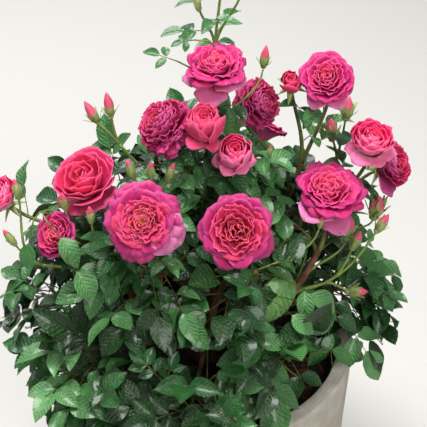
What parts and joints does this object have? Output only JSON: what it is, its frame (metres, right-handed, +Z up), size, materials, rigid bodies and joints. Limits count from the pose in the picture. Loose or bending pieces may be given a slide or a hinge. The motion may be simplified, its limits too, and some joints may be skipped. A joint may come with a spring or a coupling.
{
  "type": "potted rose bush",
  "caption": "Bushy patio rose in full bloom with double crimson-pink flowers, standing in its round weathered stone pot.",
  "frame": {"origin": "centre of the pot's flat underside", "axes": "+Z up, +X to the right and +Y away as the picture shows it"},
  "size_m": [0.4875, 0.4775, 0.8145],
  "materials": {
    "pot_stone": "weathered",
    "compost": "rough",
    "bark": "satin",
    "foliage": "satin",
    "petals": "velvet",
    "faded_petals": "velvet",
    "buds": "satin"
  },
  "bodies": {
    "root": {"pot": "pot_stone", "soil": "compost", "foot": "bark", "cane_right_front": "bark", "cane_right": "bark", "cane_right_back": "bark", "cane_back": "bark", "cane_middle": "bark", "cane_left_back": "bark", "cane_left": "bark", "cane_front_left": "bark", "cane_front": "bark", "bough_right": "bark", "bough_right_back": "bark", "bough_back": "bark", "bough_left_back": "bark", "bough_left": "bark", "bough_front_left": "bark", "bough_front": "bark", "bough_front_right": "bark", "flower_top": "petals", "flower_tall_right": "petals", "flower_faded_left": "faded_petals", "flower_young": "petals", "flower_faded_right": "faded_petals", "flower_half_open": "petals", "flower_left": "petals", "flower_great": "petals", "flower_centre": "petals", "flower_right": "petals", "flower_high_right": "petals", "flower_far_right": "petals", "flower_far_left": "petals", "flower_low_left": "petals", "flower_rear_left": "petals", "flower_rear_right": "petals", "flower_side_left": "petals", "flower_side_right": "petals", "flower_rear": "petals", "buds_left": "buds", "buds_middle": "buds", "buds_far_left": "buds", "buds_right": "buds", "buds_low_right": "buds", "leader": "foliage", "mass_right": "foliage", "mass_right_back": "foliage", "mass_back": "foliage", "mass_left_back": "foliage", "mass_left": "foliage", "mass_front_left": "foliage", "mass_front": "foliage", "mass_front_right": "foliage", "mass_upper_right": "foliage", "mass_upper_back": "foliage", "mass_upper_left": "foliage", "mass_upper_front_left": "foliage", "mass_upper_front": "foliage", "mass_crown": "foliage"}
  },
  "joints": []
}
